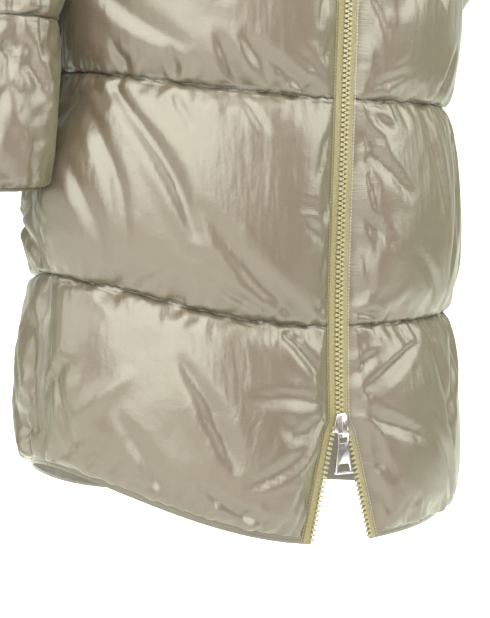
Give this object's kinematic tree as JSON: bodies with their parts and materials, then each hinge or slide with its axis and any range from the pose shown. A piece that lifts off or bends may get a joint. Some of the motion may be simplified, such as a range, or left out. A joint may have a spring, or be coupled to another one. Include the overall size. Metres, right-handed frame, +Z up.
{
  "type": "long padded jacket",
  "caption": "Long padded jacket with wide quilted baffles, a stand collar, a full-length two-way front zip opened at the hem and pockets in the side seams, worn and hollow",
  "frame": {"origin": "midway between the two points where the shoulder seams meet the neck, where a wearer's shoulders hold the jacket", "axes": "+Z up along the wearer's spine, -Y the way the wearer faces, +X the wearer's left"},
  "size_m": [0.7202, 0.4117, 0.9621],
  "materials": {
    "nylon": "shot satin nylon, taupe and olive, over wadding",
    "lining": "plain dark pocket cloth",
    "zip_tape": "woven khaki tape with moulded khaki teeth",
    "nickel": "polished nickel plating"
  },
  "bodies": {
    "coat": {"front_left": "nylon", "front_right": "nylon", "back": "nylon", "collar": "nylon", "sleeve_right": "nylon", "sleeve_left": "nylon", "pocket_bag_right": "lining", "pocket_bag_left": "lining", "zip_tape_right": "zip_tape", "zip_tape_left": "zip_tape", "slider_lower": "nickel", "slider_upper": "nickel"},
    "lower_pull": {"pull_lower": "nickel"},
    "upper_pull": {"pull_upper": "nickel"}
  },
  "joints": [
    {"name": "lower_pull_swing", "type": "hinge", "parent": "coat", "child": "lower_pull", "pos_m": [0, -0.15888, -0.76607], "axis": [-1, 0, 0], "range_deg": [0, 135]},
    {"name": "upper_pull_swing", "type": "hinge", "parent": "coat", "child": "upper_pull", "pos_m": [0, -0.09586, -0.00613], "axis": [-1, 0, 0], "range_deg": [0, 135]}
  ]
}
